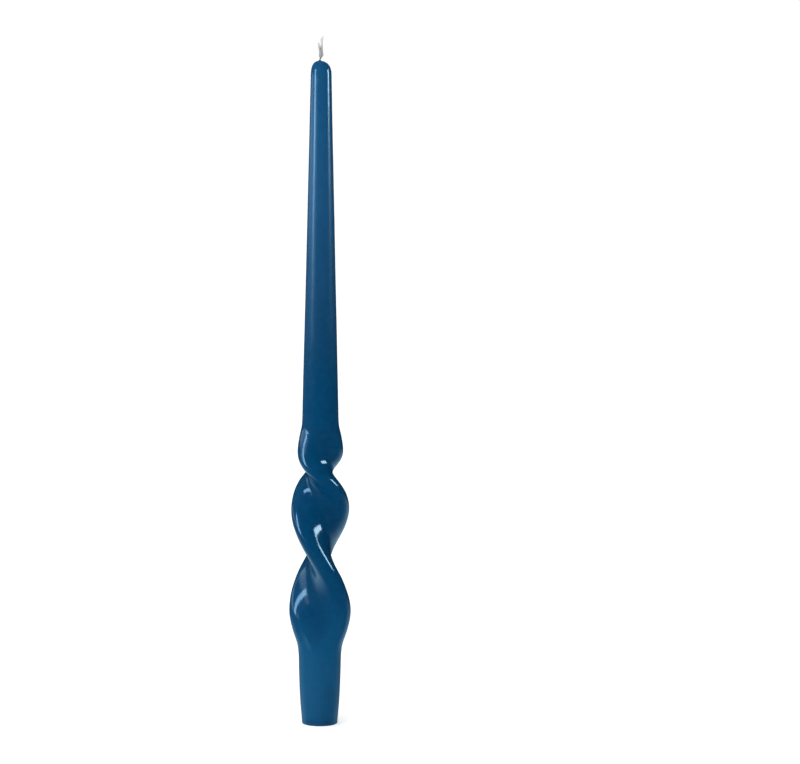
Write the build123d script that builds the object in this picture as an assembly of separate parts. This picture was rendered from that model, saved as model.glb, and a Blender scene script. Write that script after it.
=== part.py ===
from build123d import *
import math
import os

# A dipped taper candle, standing on its foot with its axis along +Z, in millimetres.
# The origin is the centre of the foot. Low on the candle the warm wax was pressed to a flat
# blade and turned by hand, between a round plug that fits a holder and a round tapering stem.

WAX_HEIGHT = 344.2        # foot to the top of the dome
COAT_THICKNESS = 0.9      # dyed wax dipped over the white core
DOME_HEIGHT = 5.3         # half of an ellipse that rounds off the stem
DOME_RADIUS = 5.3         # a little more than the stem's, so that it leaves a soft shoulder
FOOT_RIM = 0.8            # radius of the arc that rounds the rim of the foot
FOOT_RADIUS = 8.4         # of the flat that the candle stands on
CLEAR_RADIUS = 30.0       # clear of the blade

# Height and radius of the round candle before the blade was pressed.
ROUND_TAPER = [(0.0, 9.00), (5.5, 9.58), (12.0, 10.10), (24.0, 10.65), (38.0, 10.88),
               (100.0, 10.20), (155.0, 9.43), (240.0, 7.48), (344.0, 5.15)]

# Height and half width of the blade. Outside this stretch the candle is round.
BLADE_HALF_WIDTH = [(35.5, 10.88), (41.5, 11.6), (49.0, 14.3), (58.0, 16.3), (73.0, 16.8),
                    (87.0, 16.6), (101.5, 15.95), (114.0, 14.95), (126.0, 14.0), (135.0, 12.75),
                    (143.0, 12.15), (149.5, 11.1), (156.0, 9.4)]

# Height and turn of the blade in degrees. It turns faster where it is narrower.
BLADE_TURN = [(35.5, 0.0), (44.5, -6.5), (58.0, -15.0), (73.0, -47.5), (87.0, -86.5),
              (101.5, -133.0), (114.0, -178.5), (127.0, -238.5), (140.0, -328.0),
              (149.5, -343.5), (156.0, -352.0)]

SECTION_POINTS = 28       # around each section
SECTION_STEP = 2.5        # evenly spaced, so that the surface through them doesn't ripple

STRAND_RADIUS = 0.42      # one of the wick's three cotton strands
STRAND_COUNT = 3
WICK_CLEARANCE = 0.03
BUNDLE_RADIUS = 2 * STRAND_RADIUS / math.sqrt(3)    # the strands touch each other
BORE_RADIUS = BUNDLE_RADIUS + STRAND_RADIUS + WICK_CLEARANCE
COLLAR_DEPTH = 0.6        # the cone of wax that climbs the wick starts inside the dome
COLLAR_HEIGHT = 1.7
COLLAR_WALL = 0.12        # at its top

# Where each strand goes above the wax: distances from its place in the bundle in X and Y,
# and heights above the wax. The strands run together at first and then part.
STRAND_START = 2.2
STRAND_ROUTES = [
    [(-0.45, -0.10, 5.0), (-1.37, -0.20, 9.3)],
    [(-0.05, 0.00, 5.4), (-0.34, 0.05, 11.6)],
    [(0.10, 0.00, 5.0), (0.45, 0.05, 9.4), (0.76, -0.10, 13.0)],
]
BEND_SHARE = 0.45         # of the shorter run, at each bend of a strand


def along(stations, z):
    """Smooth value at height z through a list of (height, value) stations."""
    z = min(max(z, stations[0][0]), stations[-1][0])
    last = len(stations) - 1
    slopes = []
    for i in range(len(stations)):
        low = stations[max(i - 1, 0)]
        high = stations[min(i + 1, last)]
        slopes.append((high[1] - low[1]) / (high[0] - low[0]))
    i = max(k for k in range(last) if stations[k][0] <= z)
    step = stations[i + 1][0] - stations[i][0]
    t = (z - stations[i][0]) / step
    rise = t * t * (3 - 2 * t)
    value = stations[i][1] * (1 - rise) + stations[i + 1][1] * rise
    value += step * t * (1 - t) * ((1 - t) * slopes[i] - t * slopes[i + 1])
    return value


def half_thickness(half_width, radius):
    """Half thickness of a round-edged blade with the area of the round candle."""
    k = 4 - math.pi
    root = math.sqrt(16 * half_width ** 2 - 4 * k * math.pi * radius ** 2)
    return (4 * half_width - root) / (2 * k)


def section_points(z, inset):
    """Points around the candle at height z: a circle, or a Cassini oval turned with the blade."""
    radius = along(ROUND_TAPER, z)
    half_width = radius
    if BLADE_HALF_WIDTH[0][0] < z < BLADE_HALF_WIDTH[-1][0]:
        half_width = max(along(BLADE_HALF_WIDTH, z), radius)
    a = half_width - inset
    b = min(half_thickness(half_width, radius), radius) - inset
    focus = (a * a - b * b) / 2
    mean = (a * a + b * b) / 2
    turn = math.radians(along(BLADE_TURN, z))
    points = []
    for k in range(SECTION_POINTS):
        angle = 2 * math.pi * k / SECTION_POINTS
        chord = math.sqrt(mean ** 2 - (focus * math.sin(2 * angle)) ** 2)
        r = math.sqrt(focus * math.cos(2 * angle) + chord)
        points.append(Vector(r * math.cos(angle + turn), r * math.sin(angle + turn), z))
    return points + points[:1]


def end_trimmer(inset):
    """Turned solid outside the candle, that rounds off the dome and the rim of the foot."""
    shoulder = WAX_HEIGHT - DOME_HEIGHT
    foot = FOOT_RADIUS - inset
    rim = Vector(foot + FOOT_RIM * math.sin(math.pi / 3), FOOT_RIM / 2)
    middle = Vector(foot + FOOT_RIM / 2, FOOT_RIM * (1 - math.cos(math.pi / 6)))
    top = WAX_HEIGHT - inset
    outline = [
        Edge.make_line((foot, -1), (foot, 0)),
        Edge.make_three_point_arc((foot, 0), middle, rim),
        Edge.make_line(rim, (CLEAR_RADIUS, CLEAR_RADIUS)),
        Edge.make_line((CLEAR_RADIUS, CLEAR_RADIUS), (CLEAR_RADIUS, shoulder)),
        Edge.make_line((CLEAR_RADIUS, shoulder), (DOME_RADIUS - inset, shoulder)),
        Edge.make_ellipse(DOME_RADIUS - inset, DOME_HEIGHT - inset, Plane((0, shoulder, 0)), 0, 90),
        Edge.make_line((0, top), (0, WAX_HEIGHT + 1)),
        Edge.make_line((0, WAX_HEIGHT + 1), (CLEAR_RADIUS + 1, WAX_HEIGHT + 1)),
        Edge.make_line((CLEAR_RADIUS + 1, WAX_HEIGHT + 1), (CLEAR_RADIUS + 1, -1)),
        Edge.make_line((CLEAR_RADIUS + 1, -1), (foot, -1)),
    ]
    return revolve(Plane.XZ * Face(Wire(outline)), axis=Axis.Z)


def wax_body(inset):
    """Solid of the candle's outer shape, drawn in by inset, down to the foot."""
    steps = round(WAX_HEIGHT / SECTION_STEP)
    grid = [section_points(WAX_HEIGHT * i / steps, inset) for i in range(steps + 1)]
    side = Face.make_surface_from_array_of_points(grid, tol=0.005, min_deg=3, max_deg=3)
    rims = side.edges().sort_by(lambda edge: edge.center().Z)
    blank = Solid(Shell([side, Face(Wire([rims[0]])), Face(Wire([rims[-1]]))]))
    return blank - end_trimmer(inset)


def wick_bore():
    """Cylinder that the wick's strands leave in the wax."""
    return Solid.make_cylinder(BORE_RADIUS, 2 * WAX_HEIGHT, Plane.XY.offset(-WAX_HEIGHT / 2))


def collar():
    """Small cone of coloured wax that climbs the wick out of the dome."""
    low_radius = BORE_RADIUS + COLLAR_WALL + (COLLAR_DEPTH + COLLAR_HEIGHT) / 4
    base = Plane.XY.offset(WAX_HEIGHT - COLLAR_DEPTH)
    return Solid.make_cone(low_radius, BORE_RADIUS + COLLAR_WALL, COLLAR_DEPTH + COLLAR_HEIGHT, base)


def strand(number):
    """One strand of the wick, from the foot through the wax to its free end."""
    angle = 2 * math.pi * number / STRAND_COUNT + math.pi
    start = Vector(BUNDLE_RADIUS * math.cos(angle), BUNDLE_RADIUS * math.sin(angle), 0)
    corners = [start, start + Vector(0, 0, WAX_HEIGHT + STRAND_START)]
    for x, y, height in STRAND_ROUTES[number]:
        corners.append(start + Vector(x, y, WAX_HEIGHT + height))
    radii = []
    for before, corner, after in zip(corners, corners[1:], corners[2:]):
        turn = math.radians((corner - before).get_angle(after - corner))
        shorter = min((corner - before).length, (after - corner).length)
        radii.append(BEND_SHARE * shorter / math.tan(turn / 2))
    print("strand", number + 1, "bend radii", [round(r, 1) for r in radii])
    path = FilletPolyline(*corners, radius=radii)
    profile = Plane(start, z_dir=(0, 0, 1)) * Circle(STRAND_RADIUS)
    return sweep(profile, path=path)


def main():
    os.makedirs("parts", exist_ok=True)
    core_shape = wax_body(COAT_THICKNESS)
    bore = wick_bore()
    coat = wax_body(0.0) + collar() - core_shape - bore
    core = core_shape - bore
    export_step(coat, "parts/colour_coat.step")
    export_step(core, "parts/wax_core.step")
    for number in range(STRAND_COUNT):
        export_step(strand(number), f"parts/wick_strand_{number + 1}.step")


main()
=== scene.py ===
import math
import random

import bpy
import numpy as np
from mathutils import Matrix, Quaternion, Vector, noise
from mathutils.bvhtree import BVHTree


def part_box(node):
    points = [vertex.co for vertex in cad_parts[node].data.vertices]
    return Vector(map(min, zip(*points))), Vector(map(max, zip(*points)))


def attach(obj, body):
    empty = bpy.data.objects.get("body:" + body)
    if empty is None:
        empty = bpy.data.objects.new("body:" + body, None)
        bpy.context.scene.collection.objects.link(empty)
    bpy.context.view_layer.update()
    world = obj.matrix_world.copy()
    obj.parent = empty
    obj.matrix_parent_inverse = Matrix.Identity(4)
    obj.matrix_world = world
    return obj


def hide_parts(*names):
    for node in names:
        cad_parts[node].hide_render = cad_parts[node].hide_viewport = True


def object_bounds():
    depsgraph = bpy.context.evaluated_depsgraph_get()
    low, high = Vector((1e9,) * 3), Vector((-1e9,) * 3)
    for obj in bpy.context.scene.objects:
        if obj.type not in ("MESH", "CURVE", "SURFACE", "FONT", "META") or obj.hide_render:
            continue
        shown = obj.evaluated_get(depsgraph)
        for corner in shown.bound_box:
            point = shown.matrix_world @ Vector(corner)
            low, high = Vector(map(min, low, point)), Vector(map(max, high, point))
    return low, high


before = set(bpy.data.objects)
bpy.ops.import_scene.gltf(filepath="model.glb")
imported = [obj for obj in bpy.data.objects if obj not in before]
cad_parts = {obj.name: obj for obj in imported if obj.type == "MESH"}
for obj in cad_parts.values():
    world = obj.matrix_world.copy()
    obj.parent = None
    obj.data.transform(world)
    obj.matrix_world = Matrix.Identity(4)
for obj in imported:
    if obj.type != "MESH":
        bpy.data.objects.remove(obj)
cad_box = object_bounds()

# A dipped and turned taper candle on a white floor. Everything is in metres, in the CAD model's
# own frame: the foot's centre is the origin, the axis is +Z, and the camera looks along +Y.

MM = 0.001
COAT = "colour_coat"
CORE = "wax_core"
STRANDS = ["wick_strand_1", "wick_strand_2", "wick_strand_3"]
BODY = "root"

COLLAR_HEIGHT = 1.7 * MM  # of the CAD coat's small cone above the dome
DOME_HEIGHT = 5.3 * MM
WICK_TOP = cad_box[1].z
COLLAR_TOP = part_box(COAT)[1].z
WAX_TOP = COLLAR_TOP - COLLAR_HEIGHT
CORE_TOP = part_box(CORE)[1].z
SHOULDER = WAX_TOP - DOME_HEIGHT    # the dome starts here

# ---- the coat's mesh ------------------------------------------------------------------------
COLUMNS = 144             # round the candle
RAY_START = 0.05          # from the axis: rays towards the CAD start here, outside the candle
SAMPLE_STEP = 0.5 * MM    # between the heights where the CAD coat is measured
RIM = 0.35 * MM           # radius of the foot's rounded rim
RIM_ROWS = 7
PLUG_TOP = 35.5 * MM      # the blade starts here
BLADE_TOP = 165 * MM      # and the round stem starts here
OUTER_STEPS = (1.2 * MM, 0.7 * MM, 1.4 * MM)    # between rows on the plug, the blade and the stem
DOME_ROWS = 40
DOME_POWER = 2.45         # of the superellipse that rounds it off: 2 would be an ellipse
DOME_SHIFT = -0.70 * MM   # the wick stands a little to the left, and the dome's top with it
STEM_SLOPE = -0.0233      # change of the radius with height, which goes on under the dome
BORE = 0.94 * MM          # radius of the hole round the wick inside the wax
CORE_GAP = 0.01 * MM      # so that the core's and the coat's faces don't share a place
NECK = 0.52 * MM          # outside of the wax where it ends on the wick
NECK_TOP = WAX_TOP + 0.45 * MM
NECK_REACH = 0.22 * MM    # how fast the dome curves up into that neck
NECK_MARGIN = 0.1 * MM    # the dome's rows stop this far outside the neck
LIP_WIDTH = 0.10 * MM     # the neck's rounded top edge
LIP_HEIGHT = 0.05 * MM
NECK_WALL = 0.12 * MM
NECK_DEPTH = 0.3 * MM     # the neck's inside reaches this far below the wax's top
SHARP_ANGLE = math.radians(50)

# The wall between the coat and the core, which only shows at the foot.
INNER_STEPS = (3.0 * MM, 1.5 * MM, 5.0 * MM)
INNER_FOOT = 0.02 * MM    # height of its lowest row
INNER_TURN = 3 * MM       # its straight rows stop this far below the dome
INNER_TOP_GAP = 0.1 * MM  # between its last row and the core's top
INNER_DOME_ROWS = 10
INNER_BLUR = 1.0          # columns

# How the CAD's facets are smoothed out and the blade is made fuller.
HARMONICS = 16            # of the section, that are kept
PHASE_BLUR = 2.0          # rows, before the blade's turn is read
BLADE_SHARE = 0.02        # of the radius: a section with a smaller second wave is round
FACET_BLUR = 1.6 * MM     # along the axis, in the blade's own turning frame
FULLNESS = 0.6            # how far the blade's section goes from an oval to a round-edged slab
SMALLEST_SINE = 0.01      # keeps clear of a division by zero at the slab's edges
SECTION_BLUR = 1.2        # columns, to ease the slab's corners

# Where the coat lies in a valley of the blade, for the painted shade that darkens the valleys.
VALLEY_BLUR = 16          # columns
VALLEY_DEPTH = 2.2 * MM   # counts as a full valley

# Unevenness left by dipping and by the hand that turned the blade.
DRIP_WAVE = 0.05 * MM
DRIP_LENGTH = 34 * MM
DRIP_WIDTH = 9 * MM
HAND_WAVE = 0.11 * MM
HAND_LENGTH = 10 * MM
HAND_START = 0.5          # so that it isn't the same noise as the drips'
HAND_FADE = 15 * MM       # at the blade's two ends
SKIN_WAVE = 0.012 * MM
SKIN_LENGTH = 2.6 * MM
SKIN_START = 0.9
SKIN_STRETCH = 0.6        # less than 1 draws the noise out along the candle
# Small creases where the blade was pinched out of the stem: angle round the candle in degrees,
# height, depth, and size across and along. They all lean the same way.
CREASE_LEAN = -0.45       # sideways for each millimetre up
CREASE_REACH = 4          # times its size along: further away it isn't worked out
CREASES = [
    (226, 153.8 * MM, 0.26 * MM, 0.7 * MM, 1.7 * MM),
    (237, 151.6 * MM, 0.16 * MM, 0.8 * MM, 2.0 * MM),
    (314, 154.4 * MM, 0.20 * MM, 0.7 * MM, 1.6 * MM),
    (306, 152.0 * MM, 0.14 * MM, 0.8 * MM, 1.5 * MM),
]


def gaussian(values, sigma, axis=0):
    """Blurs along one axis, holding the end values. sigma is in samples."""
    reach = max(int(3 * sigma), 1)
    kernel = np.exp(-0.5 * (np.arange(-reach, reach + 1) / sigma) ** 2)
    kernel /= kernel.sum()
    pad = [(reach, reach) if i == axis else (0, 0) for i in range(values.ndim)]
    wide = np.pad(values, pad, mode="edge")
    return np.apply_along_axis(lambda row: np.convolve(row, kernel, mode="valid"), axis, wide)


def cad_radii(node, heights):
    """Distance from the axis to a CAD node's outside, for each height and angle."""
    tree = BVHTree.FromObject(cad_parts[node], bpy.context.evaluated_depsgraph_get())
    radii = np.zeros((len(heights), COLUMNS))
    for row, z in enumerate(heights):
        for column in range(COLUMNS):
            angle = 2 * math.pi * column / COLUMNS
            out = Vector((math.cos(angle), math.sin(angle), 0))
            hit = tree.ray_cast(out * RAY_START + Vector((0, 0, z)), -out)
            radii[row, column] = RAY_START - hit[3]
    return radii


def smooth_side(radii):
    """Takes the CAD facets out of the side without blurring the ridges of the turned blade.

    Each section is a sum of waves round the candle. The second wave carries the blade, so its
    phase is the blade's turn. The waves are blurred along the axis in a frame that turns with it.
    """
    waves = np.fft.rfft(radii, axis=1)
    second = waves[:, 2]
    blade = gaussian(second.real, PHASE_BLUR) + 1j * gaussian(second.imag, PHASE_BLUR)
    turn = np.unwrap(np.angle(blade)) / 2
    is_blade = np.abs(second) > BLADE_SHARE * np.abs(waves[:, 0])
    first, last = np.flatnonzero(is_blade)[[0, -1]]
    turn[:first] = turn[first]
    turn[last:] = turn[last]
    blur = FACET_BLUR / SAMPLE_STEP
    turn = gaussian(turn, blur)
    waves[:, HARMONICS + 1:] = 0
    for k in range(HARMONICS + 1):
        still = waves[:, k] * np.exp(-1j * k * turn)
        still = gaussian(still.real, blur) + 1j * gaussian(still.imag, blur)
        waves[:, k] = still * np.exp(1j * k * turn)
    return np.fft.irfft(waves, n=COLUMNS, axis=1)


def fuller(radii):
    """Moves each section of the blade part of the way to a slab with half-round edges."""
    wave = np.fft.rfft(radii, axis=1)[:, 2]
    turn = -np.angle(wave) / 2
    angles = 2 * np.pi * np.arange(COLUMNS) / COLUMNS
    for row in range(len(radii)):
        turned = (angles - turn[row]) % (2 * np.pi)
        a, b = radii[row].max(), radii[row].min()
        ahead, aside = np.abs(np.cos(turned)), np.abs(np.sin(turned))
        flat = a - b
        edge = flat * ahead + np.sqrt(np.maximum(b ** 2 - (flat * aside) ** 2, 0))
        face = b / np.maximum(aside, SMALLEST_SINE)
        slab = np.where(b * ahead < flat * aside, face, edge)
        radii[row] += FULLNESS * (slab - radii[row])
    wide = np.tile(radii, 3)
    return gaussian(wide, SECTION_BLUR, axis=1)[:, COLUMNS:-COLUMNS]


def at_heights(heights, measured, radii):
    """Radii at these heights, between the measured ones."""
    return np.array([np.interp(heights, measured, column) for column in radii.T]).T


def hand_made(radii, heights):
    """Adds the waves of dipping and turning by hand, and the creases above the blade."""
    for row, z in enumerate(heights):
        on_blade = min(max(min(z - PLUG_TOP, BLADE_TOP - z) / HAND_FADE, 0), 1)
        for column in range(COLUMNS):
            angle = 2 * math.pi * column / COLUMNS
            radius = radii[row, column]
            x = radius * math.cos(angle)
            y = radius * math.sin(angle)
            drip = noise.noise(Vector((x / DRIP_WIDTH, y / DRIP_WIDTH, z / DRIP_LENGTH)))
            hand = noise.noise(Vector((x, y, z + HAND_START)) / HAND_LENGTH)
            skin = noise.noise(Vector((x, y, SKIN_STRETCH * z + SKIN_START)) / SKIN_LENGTH)
            radii[row, column] += DRIP_WAVE * drip + HAND_WAVE * on_blade * hand + SKIN_WAVE * skin
            for degrees, height, depth, across, along in CREASES:
                sideways = radius * (angle - math.radians(degrees))
                upwards = z - height
                if abs(upwards) < CREASE_REACH * along:
                    off = (sideways - CREASE_LEAN * upwards) / across
                    radii[row, column] -= depth * math.exp(-off ** 2 - (upwards / along) ** 2)


def row_heights(low, high, steps):
    """Heights of rows up the side, closer together along the blade."""
    plug, blade, stem = steps
    return np.concatenate([
        np.arange(low, PLUG_TOP, plug),
        np.arange(PLUG_TOP, BLADE_TOP, blade),
        np.arange(BLADE_TOP, high, stem),
    ])


def inner_side():
    """Heights and radii of the wall between the coat and the core, from the foot up."""
    dome = CORE_TOP - SHOULDER - INNER_TOP_GAP
    rounding = np.sin(np.linspace(0, math.pi / 2, INNER_DOME_ROWS)) * dome
    side = row_heights(INNER_FOOT, SHOULDER - INNER_TURN, INNER_STEPS)
    heights = np.append(side, SHOULDER + rounding)
    return heights, fuller(gaussian(cad_radii(CORE, heights), INNER_BLUR, axis=1))


def core_rings(heights, radii):
    """Rings of the core, from the wick's bore in the foot, up the outside and down the bore."""
    rings = [(np.full(COLUMNS, BORE), heights[0], 0)]
    rings += [(radii[i] - CORE_GAP, z, 0) for i, z in enumerate(heights)]
    rings.append((np.full(COLUMNS, BORE), CORE_TOP - CORE_GAP, 0))
    return rings


def coat_rings(inner_heights, inner):
    """Rings of the coat, from the inside of the foot, up the outside and down the inside.

    Each ring is (radii round the candle, heights round the candle, sideways shift of its centre).
    """
    measured = np.arange(RIM, SHOULDER - SAMPLE_STEP, SAMPLE_STEP)
    side = fuller(smooth_side(cad_radii(COAT, measured)))
    heights = row_heights(RIM, measured[-1], OUTER_STEPS)
    radii = at_heights(heights, measured, side)
    hand_made(radii, heights)

    rings = [(inner[0], 0, 0)]
    for i in range(RIM_ROWS):
        turn = math.pi / 2 * i / RIM_ROWS
        rings.append((radii[0] - RIM * (1 - math.sin(turn)), RIM * (1 - math.cos(turn)), 0))
    rings += [(radii[i], z, 0) for i, z in enumerate(heights)]
    rings += dome_rings(radii[-1], heights[-1])
    rings.append((np.full(COLUMNS, BORE), CORE_TOP, 0))
    rings += [(radius, z, 0) for radius, z in zip(inner[:0:-1], inner_heights[:0:-1])]
    return rings


def dome_rings(last_radii, last_height):
    """Rings that round off the stem and then curve up into the neck of wax on the wick."""
    rings = []
    height = WAX_TOP - last_height
    for i in range(1, DOME_ROWS + 1):
        turn = math.pi / 2 * i / DOME_ROWS
        up = math.sin(turn) ** (2 / DOME_POWER)
        share = math.cos(turn) ** (2 / DOME_POWER)
        radius = (last_radii + STEM_SLOPE * height * up) * share
        if radius.mean() < NECK + NECK_MARGIN:
            break
        lift = (NECK_TOP - WAX_TOP) * np.exp(-(radius - NECK) / NECK_REACH)
        rings.append((radius, last_height + height * up + lift, DOME_SHIFT * up ** 3))
    for turn in (0, math.pi / 3, 2 * math.pi / 3, math.pi):
        edge = NECK - LIP_WIDTH * (1 - math.cos(turn)) / 2
        top = NECK_TOP - LIP_HEIGHT * (1 - math.sin(turn))
        rings.append((np.full(COLUMNS, edge), top, DOME_SHIFT))
    rings.append((np.full(COLUMNS, NECK - NECK_WALL), WAX_TOP - NECK_DEPTH, DOME_SHIFT))
    return rings


def closed_grid(name, rings):
    """A closed mesh from rings that follow each other and meet again at the first."""
    angles = 2 * np.pi * np.arange(COLUMNS) / COLUMNS
    points = []
    for radii, height, shift in rings:
        x = radii * np.cos(angles) + shift
        y = radii * np.sin(angles)
        points.append(np.stack([x, y, np.broadcast_to(height, x.shape)], axis=1))
    points = np.concatenate(points)
    count = len(rings)
    faces = []
    for ring in range(count):
        for column in range(COLUMNS):
            after = (column + 1) % COLUMNS
            low = ring * COLUMNS
            high = (ring + 1) % count * COLUMNS
            faces.append((low + column, low + after, high + after, high + column))
    mesh = bpy.data.meshes.new(name)
    mesh.from_pydata(points.tolist(), [], faces)
    mesh.polygons.foreach_set("use_smooth", [True] * len(mesh.polygons))
    mesh.set_sharp_from_angle(angle=SHARP_ANGLE)
    return mesh


def add_piece(name, mesh, material, slot, *nodes):
    """Links a finished mesh as a piece of the candle that stands for these CAD nodes."""
    piece = bpy.data.objects.new(name, mesh)
    bpy.context.scene.collection.objects.link(piece)
    mesh.materials.append(material)
    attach(piece, BODY)
    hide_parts(*nodes)


def mark_valleys(mesh, rings):
    """Stores how far each point lies in a valley of the blade, from 0 to 1, as an attribute for
    painted shade.
    """
    depth = []
    for radii, _, _ in rings:
        around = np.tile(np.broadcast_to(radii, COLUMNS), 3)
        depth.append(gaussian(around, VALLEY_BLUR)[COLUMNS:-COLUMNS] - radii)
    depth = np.clip(np.concatenate(depth) / VALLEY_DEPTH, 0, 1)
    attribute = mesh.attributes.new("valley", "FLOAT", "POINT")
    attribute.data.foreach_set("value", depth.astype(np.float32))


# ---- the wick -------------------------------------------------------------------------------
STRAND_RADIUS = 0.42 * MM
BUNDLE = 2 * STRAND_RADIUS / math.sqrt(3)
FIRST_SEED = 40
HIDDEN_SHARES = (0.0002, 0.25, 0.5, 0.75, 0.97)    # of the wax's height: a strand's points in it
ROUTE_STEPS = 22          # between two of a strand's points
PLIES = 3
PLY_SHARE = 0.5           # of the strand's radius
PLY_OFFSET = 0.52
PLY_SIDES = 8
PLY_SWELL = 0.06          # how much a ply's thickness changes
PLY_SWELLS = 9            # in each turn
LAY = 3.2 * MM            # length of one turn of the plies where they show
HIDDEN_LAY = 60 * MM      # inside the wax, where the plies are only kept simple
PINCH_HEIGHT = 1.2 * MM   # above the wax, where it holds the strands tightest
PINCH_LENGTH = 1.6 * MM
PINCHED = 0.55            # of a strand's thickness
FLUFFED = 1.3
FIBRE_RADIUS = 0.035 * MM
FIBRE_SIDES = 5
FIBRE_STEPS = 6
FIBRE_WAVER = 0.35
FIBRE_TAPER = 0.1         # of its radius, at each step
TIP_FIBRES = 9
TIP_LENGTHS = (0.5, 1.0)  # mm
TIP_START = 0.1           # mm below the strand's tip
TIP_SPREAD = 0.12         # mm
TIP_SPLAY = 0.55
STRAY_FIBRES = 12
STRAY_LENGTHS = (0.5, 1.1)    # mm
STRAY_START = 0.6 * MM    # above the CAD's cone of wax
STRAY_END = 4             # of the line's last points that grow none
STRAY_DEPTH = 0.8         # of the ply's radius
STRAY_SPLAY = 0.7
YARN_SHARP_ANGLE = math.radians(60)

# Where each strand goes from the dome up, in millimetres from the candle's axis.
STRAND_ROUTES = [
    [(-0.78, -0.02, 343.4), (-0.76, -0.10, 344.8), (-0.52, -0.14, 345.8), (-0.35, -0.24, 346.8),
     (-0.55, -0.28, 348.4), (-0.85, -0.30, 350.2), (-1.15, -0.28, 351.8), (-1.42, -0.20, 353.5)],
    [(-0.64, 0.10, 343.4), (-0.62, 0.12, 344.8), (-0.20, 0.10, 345.7), (0.66, 0.02, 346.7),
     (0.50, -0.02, 348.6), (0.34, 0.00, 351.0), (0.24, 0.00, 353.4), (-0.06, 0.05, 355.6)],
    [(-0.68, -0.08, 343.4), (-0.66, -0.02, 344.8), (-0.55, 0.08, 345.8), (-0.95, 0.30, 346.8),
     (-0.20, 0.42, 349.6), (0.28, 0.40, 352.6), (0.40, 0.32, 354.8), (0.88, 0.25, 356.7)],
]


def smooth_route(points, resolution):
    """Points along one NURBS spline with these control points."""
    curve = bpy.data.curves.new("route", "CURVE")
    curve.dimensions = "3D"
    curve.resolution_u = resolution
    spline = curve.splines.new("NURBS")
    spline.points.add(len(points) - 1)
    for point, place in zip(spline.points, points):
        point.co = (*place, 1)
    spline.order_u = 3
    spline.use_endpoint_u = True
    holder = bpy.data.objects.new("route", curve)
    mesh = bpy.data.meshes.new_from_object(holder)
    line = [vertex.co.copy() for vertex in mesh.vertices]
    bpy.data.objects.remove(holder)
    bpy.data.curves.remove(curve)
    bpy.data.meshes.remove(mesh)
    return line


class Yarn:
    """Collects closed tubes for one strand's mesh."""

    def __init__(self):
        self.points = []
        self.faces = []

    def tube(self, line, radii, sides):
        """A round tube along a line, closed at both ends by a small flat cap."""
        base = len(self.points)
        heading = (line[1] - line[0]).normalized()
        across = heading.orthogonal().normalized()
        for i, point in enumerate(line):
            ahead = line[min(i + 1, len(line) - 1)] - line[max(i - 1, 0)]
            turn = heading.rotation_difference(ahead.normalized())
            heading = ahead.normalized()
            across = (turn @ across).normalized()
            other = heading.cross(across)
            for side in range(sides):
                angle = 2 * math.pi * side / sides
                spoke = across * math.cos(angle) + other * math.sin(angle)
                self.points.append(point + spoke * radii[i])
        for ring in range(len(line) - 1):
            for side in range(sides):
                low = base + ring * sides
                high = low + sides
                after = (side + 1) % sides
                self.faces.append((low + side, low + after, high + after, high + side))
        last = base + (len(line) - 1) * sides
        self.faces.append(tuple(base + side for side in reversed(range(sides))))
        self.faces.append(tuple(last + side for side in range(sides)))

    def mesh(self, name):
        made = bpy.data.meshes.new(name)
        made.from_pydata([tuple(p) for p in self.points], [], self.faces)
        made.polygons.foreach_set("use_smooth", [True] * len(made.polygons))
        made.set_sharp_from_angle(angle=YARN_SHARP_ANGLE)
        return made


def squeeze(z):
    """How thick a strand is at height z: tight in the wax's neck, and fluffed out above it."""
    away = abs(z - (WAX_TOP + PINCH_HEIGHT)) / PINCH_LENGTH
    loose = 1.0 if z < WAX_TOP else FLUFFED
    return PINCHED + (loose - PINCHED) * min(away, 1) ** 1.5


def fibre(yarn, start, way, length, chance):
    """One loose cotton fibre that leaves start and wavers along way."""
    line = [start]
    for _ in range(FIBRE_STEPS):
        waver = Vector((chance.uniform(-1, 1), chance.uniform(-1, 1), chance.uniform(-1, 1)))
        way = (way + FIBRE_WAVER * waver).normalized()
        line.append(line[-1] + way * length / FIBRE_STEPS)
    radii = [FIBRE_RADIUS * (1 - FIBRE_TAPER * i) for i in range(len(line))]
    yarn.tube(line, radii, FIBRE_SIDES)


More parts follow.
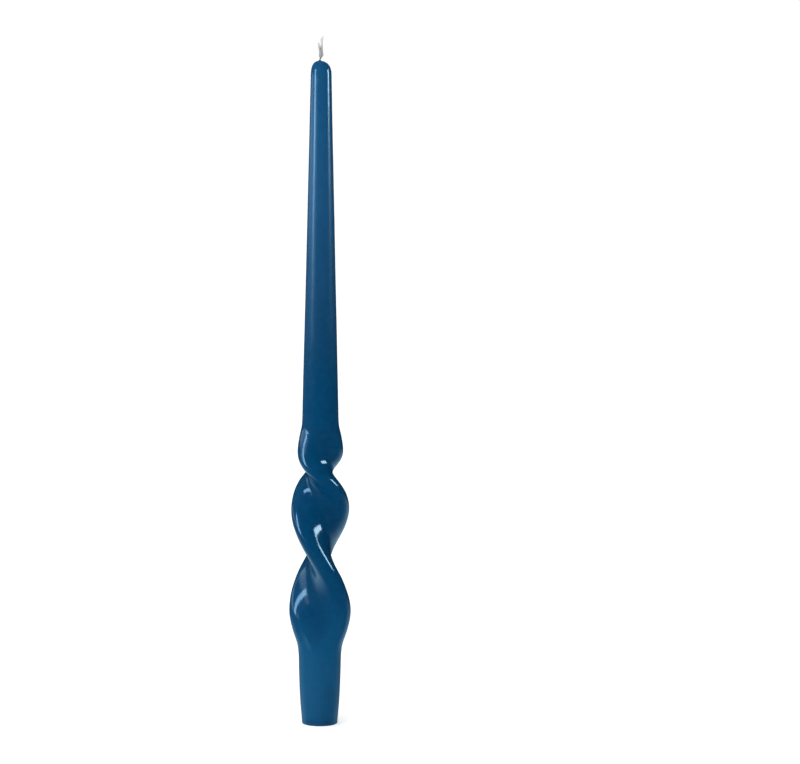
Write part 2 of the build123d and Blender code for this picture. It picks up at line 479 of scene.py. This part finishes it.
def strand_mesh(number):
    """One strand of the wick: twisted plies from the foot to the tip, with loose fibres."""
    chance = random.Random(FIRST_SEED + number)
    angle = 2 * math.pi * number / len(STRANDS) + math.pi
    x, y = BUNDLE * math.cos(angle), BUNDLE * math.sin(angle)
    hidden = [Vector((x, y, WAX_TOP * share)) for share in HIDDEN_SHARES]
    shown = [Vector(place) * MM for place in STRAND_ROUTES[number]]
    line = smooth_route(hidden + shown, ROUTE_STEPS)
    phase = 2 * math.pi * chance.random()
    plies = [[] for _ in range(PLIES)]
    radii = []
    for i, point in enumerate(line):
        ahead = line[min(i + 1, len(line) - 1)] - line[max(i - 1, 0)]
        heading = ahead.normalized()
        across = Vector((1, 0, 0))
        across = (across - heading * across.dot(heading)).normalized()
        other = heading.cross(across)
        if i:
            step = (point - line[i - 1]).length
            lay = LAY if point.z > CORE_TOP else HIDDEN_LAY
            phase += 2 * math.pi * step / lay
        thick = STRAND_RADIUS * squeeze(point.z)
        radii.append(PLY_SHARE * thick * (1 + PLY_SWELL * math.sin(PLY_SWELLS * phase)))
        for k in range(PLIES):
            at = phase + 2 * math.pi * k / PLIES
            spoke = across * math.cos(at) + other * math.sin(at)
            plies[k].append(point + spoke * PLY_OFFSET * thick)
    yarn = Yarn()
    for ply in plies:
        yarn.tube(ply, radii, PLY_SIDES)
    heading = (line[-1] - line[-3]).normalized()
    for k in range(TIP_FIBRES):
        start = plies[k % PLIES][-1] - heading * TIP_START * MM
        splay = Vector((chance.uniform(-1, 1), chance.uniform(-1, 1), chance.uniform(-0.2, 0.4)))
        start = start + splay * TIP_SPREAD * MM
        reach = min(chance.uniform(*TIP_LENGTHS) * MM, WICK_TOP - start.z)
        fibre(yarn, start, (heading + TIP_SPLAY * splay).normalized(), reach, chance)
    free = [i for i, point in enumerate(line) if point.z > COLLAR_TOP + STRAY_START]
    for k in range(STRAY_FIBRES):
        i = chance.choice(free[:-STRAY_END])
        ply = plies[k % PLIES]
        outward = (ply[i] - line[i]).normalized()
        start = ply[i] + outward * radii[i] * STRAY_DEPTH
        way = (outward * STRAY_SPLAY + (line[i + 2] - line[i]).normalized()).normalized()
        fibre(yarn, start, way, chance.uniform(*STRAY_LENGTHS) * MM, chance)
    return yarn.mesh(f"strand_{number + 1}_yarn")


# ---- materials ------------------------------------------------------------------------------
WHITE = (1, 1, 1, 1)
WAX_IOR = 1.44
# The dyed wax's colours.
BLADE_BLUE = (0.0001, 0.0400, 0.1070, 1)
PLUG_BLUE = (0.0010, 0.0700, 0.1700, 1)
STEM_BLUE = (0.0060, 0.0700, 0.1720, 1)
# Painted shade: a darker blue for the blade's valleys and the foot, also used for the wax's own
# cloudy tone.
SHADED_AND_CLOUDY_BLUE = (0.0001, 0.0320, 0.0920, 1)
SPECK_BLUE = (0.0060, 0.0850, 0.2000, 1)
# The white wax's.
WAX_SHADE = (0.70, 0.68, 0.62, 1)
WAX_LIGHT = (0.86, 0.85, 0.81, 1)
RING_GREY = (0.60, 0.60, 0.57, 1)
DIP_THICKNESS = 1.3 * MM  # of the wax that one dip leaves
# The cotton's: painted shade between the threads, on them, where it is frayed, and where it has
# drawn up dye.
COTTON_GAP_SHADE = (0.20, 0.20, 0.20, 1)
COTTON_LIGHT = (0.52, 0.52, 0.515, 1)
COTTON_FRAYED = (0.75, 0.75, 0.74, 1)
COTTON_SOAKED = (0.09, 0.24, 0.30, 1)
# The floor's.
PAPER_SHADE = (0.74, 0.74, 0.74, 1)
PAPER_LIGHT = (0.76, 0.76, 0.76, 1)


class Nodes:
    """Adds nodes to a material's or the world's tree with few words."""

    def __init__(self, owner):
        owner.use_nodes = True
        self.tree = owner.node_tree

    def add(self, kind, inputs=None, **settings):
        made = self.tree.nodes.new("ShaderNode" + kind)
        for name, value in settings.items():
            setattr(made, name, value)
        for name, value in (inputs or {}).items():
            self.set(made.inputs[name], value)
        return made

    def set(self, socket, value):
        if isinstance(value, bpy.types.NodeSocket):
            self.tree.links.new(value, socket)
        else:
            socket.default_value = value

    def split(self, vector):
        """The X, Y and Z sockets of a vector."""
        return self.add("SeparateXYZ", {"Vector": vector}).outputs

    def math(self, operation, *values):
        return self.add("Math", dict(enumerate(values)), operation=operation).outputs[0]

    def ease(self, value, low, high, first=0.0, last=1.0):
        """first below low, last above high, and a smooth way between them."""
        inputs = {"Value": value, "From Min": low, "From Max": high,
                  "To Min": first, "To Max": last}
        return self.add("MapRange", inputs, interpolation_type="SMOOTHSTEP").outputs["Result"]

    def noise(self, where, scale, detail=2.0, roughness=0.5):
        inputs = {"Vector": where, "Scale": scale, "Detail": detail, "Roughness": roughness}
        return self.add("TexNoise", inputs).outputs["Fac"]

    def stretched(self, where, scale):
        made = self.add("Mapping", {"Vector": where, "Scale": scale}, vector_type="POINT")
        return made.outputs["Vector"]

    def mix(self, share, a, b):
        """Colour a where share is 0 and colour b where it is 1."""
        inputs = {"Factor": share, 6: a, 7: b}
        return self.add("Mix", inputs, data_type="RGBA", clamp_factor=True).outputs[2]

    def mix_values(self, share, a, b):
        """The same for plain numbers."""
        return self.add("Mix", {"Factor": share, 2: a, 3: b}).outputs[0]

    def bump(self, height, distance, strength, normal=None):
        inputs = {"Height": height, "Distance": distance, "Strength": strength}
        if normal is not None:
            inputs["Normal"] = normal
        return self.add("Bump", inputs).outputs["Normal"]


def new_material(name):
    """A material, its nodes, its shader, and the socket with each point's place."""
    material = bpy.data.materials.new(name)
    nodes = Nodes(material)
    shader = nodes.tree.nodes["Principled BSDF"]
    place = nodes.add("TexCoord").outputs["Object"]
    return material, nodes, shader, place


def dyed_wax():
    """Petrol blue dipped wax: glossy on the blade and the top of the stem, satin on the plug."""
    material, nodes, shader, place = new_material("dyed_wax")
    height = nodes.split(place)["Z"]
    cloud = nodes.noise(nodes.stretched(place, (1, 1, 0.35)), scale=70, detail=3)
    mottle = nodes.noise(place, scale=380, detail=4, roughness=0.6)

    plug = nodes.ease(height, 30 * MM, 75 * MM, first=0.8, last=0.0)
    stem = nodes.ease(height, 170 * MM, 300 * MM, first=0.0, last=0.8)
    colour = nodes.mix(plug, BLADE_BLUE, PLUG_BLUE)
    colour = nodes.mix(stem, colour, STEM_BLUE)
    # Painted shade: the coat is darkened in the blade's valleys, the deeper the darker.
    valley = nodes.add("Attribute", attribute_name="valley").outputs["Fac"]
    cloudy = nodes.ease(cloud, 0.45, 0.75, first=0.0, last=0.35)
    # Painted shade: darker in the bottom few millimetres, next to the floor.
    foot = nodes.ease(height, 1.0 * MM, 6.0 * MM, first=0.4, last=0.0)
    # The cloudy patches are the wax's own tone; the valleys and the foot add painted shade.
    painted_shade_and_cloud = nodes.math("MULTIPLY_ADD", valley, 0.6, nodes.math("ADD", cloudy, foot))
    colour = nodes.mix(painted_shade_and_cloud, colour, SHADED_AND_CLOUDY_BLUE)
    speck = nodes.ease(mottle, 0.35, 0.7, first=0.0, last=0.11)
    colour = nodes.mix(speck, colour, SPECK_BLUE)
    nodes.set(shader.inputs["Base Color"], colour)

    satin = nodes.ease(height, 20 * MM, 70 * MM, first=0.23, last=0.12)
    worn = nodes.ease(height, 165 * MM, 215 * MM, first=0.0, last=0.10)
    glossy_top = nodes.ease(height, 280 * MM, 330 * MM, first=0.0, last=0.08)
    uneven = nodes.ease(mottle, 0.3, 0.75, first=-0.02, last=0.03)
    rough = nodes.math("ADD", satin, nodes.math("SUBTRACT", worn, glossy_top))
    nodes.set(shader.inputs["Roughness"], nodes.math("ADD", rough, uneven))

    pits = nodes.noise(place, scale=420)
    grain = nodes.noise(nodes.stretched(place, (1, 1, 0.6)), scale=2600, roughness=0.6)
    normal = nodes.bump(pits, distance=0.012 * MM, strength=0.5)
    normal = nodes.bump(grain, distance=0.003 * MM, strength=0.5, normal=normal)
    nodes.set(shader.inputs["Normal"], normal)
    shader.inputs["IOR"].default_value = WAX_IOR
    shader.inputs["Subsurface Weight"].default_value = 0.2
    shader.inputs["Subsurface Radius"].default_value = (0.6, 0.8, 1.0)
    shader.inputs["Subsurface Scale"].default_value = 1.2 * MM
    return material


def white_wax():
    """Undyed paraffin, cut square at the foot: cloudy, with faint rings left by dipping."""
    material, nodes, shader, place = new_material("white_wax")
    cloud = nodes.noise(place, scale=260, detail=4, roughness=0.6)
    split = nodes.split(place)
    flat = nodes.add("CombineXYZ", {"X": split["X"], "Y": split["Y"]}).outputs["Vector"]
    radius = nodes.add("VectorMath", {0: flat}, operation="LENGTH").outputs["Value"]
    wobbly = nodes.math("MULTIPLY_ADD", cloud, 0.5 * MM, radius)
    ring = nodes.math("SINE", nodes.math("MULTIPLY", wobbly, 2 * math.pi / DIP_THICKNESS))
    colour = nodes.mix(cloud, WAX_SHADE, WAX_LIGHT)
    colour = nodes.mix(nodes.ease(ring, 0.2, 1.0, first=0.0, last=0.25), colour, RING_GREY)
    nodes.set(shader.inputs["Base Color"], colour)
    rough = nodes.ease(cloud, 0.3, 0.7, first=0.42, last=0.62)
    nodes.set(shader.inputs["Roughness"], rough)
    normal = nodes.bump(ring, distance=0.02 * MM, strength=0.4)
    normal = nodes.bump(cloud, distance=0.08 * MM, strength=0.5, normal=normal)
    nodes.set(shader.inputs["Normal"], normal)
    shader.inputs["IOR"].default_value = WAX_IOR
    shader.inputs["Subsurface Weight"].default_value = 0.3
    shader.inputs["Subsurface Radius"].default_value = (1.0, 0.8, 0.6)
    shader.inputs["Subsurface Scale"].default_value = 2 * MM
    return material


def cotton():
    """White cotton yarn that has drawn up a little dyed wax next to the dome."""
    material, nodes, shader, place = new_material("cotton")
    height = nodes.split(place)["Z"]
    thread = nodes.noise(nodes.stretched(place, (1, 1, 0.2)), scale=5200, detail=3, roughness=0.6)
    patch = nodes.noise(place, scale=900)
    # Painted shade: darker streaks between the threads.
    colour = nodes.mix(thread, COTTON_GAP_SHADE, COTTON_LIGHT)
    frayed = nodes.ease(height, WAX_TOP + 5 * MM, WAX_TOP + 11 * MM, first=0.0, last=0.6)
    colour = nodes.mix(frayed, colour, COTTON_FRAYED)
    ragged = nodes.math("MULTIPLY_ADD", patch, 1.2 * MM, height)
    soaked = nodes.ease(ragged, WAX_TOP + 2.0 * MM, WAX_TOP + 3.0 * MM, first=0.9, last=0.0)
    in_coat = nodes.ease(height, WAX_TOP - 4.0 * MM, WAX_TOP - 1.0 * MM)
    soaked = nodes.math("MULTIPLY", soaked, in_coat)
    nodes.set(shader.inputs["Base Color"], nodes.mix(soaked, colour, COTTON_SOAKED))
    rough = nodes.ease(soaked, 0.0, 0.8, first=0.9, last=0.5)
    nodes.set(shader.inputs["Roughness"], rough)
    normal = nodes.bump(thread, distance=0.03 * MM, strength=0.8)
    nodes.set(shader.inputs["Normal"], normal)
    shader.inputs["Sheen Weight"].default_value = 0.25
    return material


# ---- the floor, the light and the camera ----------------------------------------------------
FLOOR_RADIUS = 9.0        # fills the view from any side
FLOOR_SIDES = 96
FLOOR_ROUGHNESS = 0.9
FLOOR_GLOW = 0.36         # keeps the shadow light, as on a lit table
CAMERA_LENS = 400         # mm: a long lens from far away
CAMERA_SENSOR = 36        # mm
FRAME_WIDTH = 0.4096      # of the view at the candle
CAMERA_ELEVATION = 10     # degrees
CAMERA_ROLL = 0.22        # degrees, so that the candle leans as it does in the photograph
CAMERA_RIGHT = 0.0407     # the candle stands left of the middle
CAMERA_AIM = 0.1785       # height at the middle of the view

# Softboxes that only show as reflections: bearing from the camera's side in degrees (to the
# right is positive), distance, width, bottom, top, brightness, tint. They hang high, so that the
# streaks on the stem fade out downwards and those on the blade are short. The curtain is a dim
# wide one that pales the left side of the upper stem.
SOFTBOXES = {
    "left_softbox": (-66, 0.7, 0.18, 0.18, 0.56, 14.0, (0.36, 0.68, 1.0)),
    "left_curtain": (-84, 0.7, 1.35, 0.16, 0.27, 1.8, (0.55, 0.80, 1.0)),
    "right_softbox": (86, 0.7, 0.21, 0.24, 0.56, 20.0, (0.55, 0.84, 1.0)),
}
FILL = (-0.3, -1.6, 2.2)  # place of the soft overhead light
FILL_TARGET = (0, 0, 0.15)
FILL_SIZE = 2.0
FILL_RADIANCE = 2.6

# The room's brightness: as the camera sees it, on matt surfaces, and in reflections.
ROOM_SEEN = 1.2
ROOM_RIGHT = 0.4416
ROOM_LEFT = 1.4168
REFLECTED_FRONT = 0.015
REFLECTED_LEFT = 0.14     # more than the front
REFLECTED_UNDER = (0.04, 1.1)    # more than the front, from the floor before and behind the candle
REFLECTED_TINT = (0.50, 0.82, 1.0, 1)


def add_floor():
    """A white disc that stands in for the table."""
    rim = []
    for k in range(FLOOR_SIDES):
        angle = 2 * math.pi * k / FLOOR_SIDES
        rim.append((FLOOR_RADIUS * math.cos(angle), FLOOR_RADIUS * math.sin(angle), 0))
    mesh = bpy.data.meshes.new("floor")
    mesh.from_pydata(rim, [], [tuple(range(FLOOR_SIDES))])
    floor = bpy.data.objects.new("floor", mesh)
    bpy.context.scene.collection.objects.link(floor)
    material, nodes, shader, place = new_material("white_paper")
    fleck = nodes.noise(place, scale=900)
    nodes.set(shader.inputs["Base Color"], nodes.mix(fleck, PAPER_SHADE, PAPER_LIGHT))
    shader.inputs["Roughness"].default_value = FLOOR_ROUGHNESS
    shader.inputs["Emission Color"].default_value = WHITE
    shader.inputs["Emission Strength"].default_value = FLOOR_GLOW
    mesh.materials.append(material)
    floor.visible_glossy = False


def add_area_light(name, place, target, width, height, radiance, tint):
    """A rectangular light of even radiance that looks at target."""
    lamp = bpy.data.lights.new(name, "AREA")
    lamp.shape = "RECTANGLE"
    lamp.size = width
    lamp.size_y = height
    lamp.color = tint
    lamp.energy = radiance * math.pi * width * height
    holder = bpy.data.objects.new(name, lamp)
    holder.location = place
    holder.rotation_euler = (Vector(target) - Vector(place)).to_track_quat("-Z", "Y").to_euler()
    holder.visible_camera = False
    bpy.context.scene.collection.objects.link(holder)
    return holder


def add_lights():
    """The softboxes, and one overhead light that gives the soft shadow."""
    for name, (bearing, distance, width, bottom, top, radiance, tint) in SOFTBOXES.items():
        angle = math.radians(bearing)
        middle = (bottom + top) / 2
        place = (distance * math.sin(angle), -distance * math.cos(angle), middle)
        box = add_area_light(name, place, (0, 0, middle), width, top - bottom, radiance, tint)
        box.visible_diffuse = False
    fill = add_area_light("overhead_fill", FILL, FILL_TARGET, FILL_SIZE, FILL_SIZE,
                          FILL_RADIANCE, WHITE[:3])
    fill.visible_glossy = False


def add_world():
    """A white room, brighter at the left. In reflections it is dim, apart from the floor's side."""
    world = bpy.data.worlds.new("studio")
    bpy.context.scene.world = world
    nodes = Nodes(world)
    world.cycles.sampling_method = "NONE"
    direction = nodes.split(nodes.add("TexCoord").outputs["Generated"])
    ray = nodes.add("LightPath").outputs
    left = nodes.ease(direction["X"], -0.3, -0.95, first=0.0, last=REFLECTED_LEFT)
    below = nodes.ease(direction["Z"], -0.12, -0.45)
    under = nodes.math("MULTIPLY", below, nodes.ease(direction["Y"], -0.2, 0.6, *REFLECTED_UNDER))
    glossy = nodes.math("ADD", nodes.math("ADD", left, under), REFLECTED_FRONT)
    matt = nodes.ease(direction["X"], 0.7, -0.7, first=ROOM_RIGHT, last=ROOM_LEFT)
    bright = nodes.mix_values(ray["Is Camera Ray"], matt, ROOM_SEEN)
    strength = nodes.mix_values(ray["Is Glossy Ray"], bright, glossy)
    tint = nodes.mix(ray["Is Glossy Ray"], WHITE, REFLECTED_TINT)
    backdrop = nodes.tree.nodes["Background"]
    nodes.set(backdrop.inputs["Color"], tint)
    nodes.set(backdrop.inputs["Strength"], strength)


def add_camera():
    """The photograph's view: a long lens, a little above, with the candle left of the middle."""
    distance = CAMERA_LENS * FRAME_WIDTH / CAMERA_SENSOR
    rise = math.radians(CAMERA_ELEVATION)
    data = bpy.data.cameras.new("camera")
    data.lens = CAMERA_LENS
    data.sensor_width = CAMERA_SENSOR
    data.clip_end = 4 * distance
    camera = bpy.data.objects.new("camera", data)
    aim = Vector((CAMERA_RIGHT, 0, CAMERA_AIM))
    back = Vector((0, -math.cos(rise), math.sin(rise)))
    camera.location = aim + back * distance
    camera.rotation_mode = "QUATERNION"
    upright = (-back).to_track_quat("-Z", "Y")
    camera.rotation_quaternion = Quaternion(back, math.radians(CAMERA_ROLL)) @ upright
    bpy.context.scene.collection.objects.link(camera)
    bpy.context.scene.camera = camera


add_camera()
add_world()
add_lights()
add_floor()

inner_heights, inner_radii = inner_side()
rings = coat_rings(inner_heights, inner_radii)
coat_mesh = closed_grid("dyed_coat", rings)
mark_valleys(coat_mesh, rings)
add_piece("dyed_coat", coat_mesh, dyed_wax(), "dyed_wax", COAT)

core_mesh = closed_grid("white_core", core_rings(inner_heights, inner_radii))
add_piece("white_core", core_mesh, white_wax(), "white_wax", CORE)

cotton_material = cotton()
for number, node in enumerate(STRANDS):
    add_piece(f"{node}_yarn", strand_mesh(number), cotton_material, "cotton", node)

bpy.context.scene.view_settings.view_transform = "Standard"
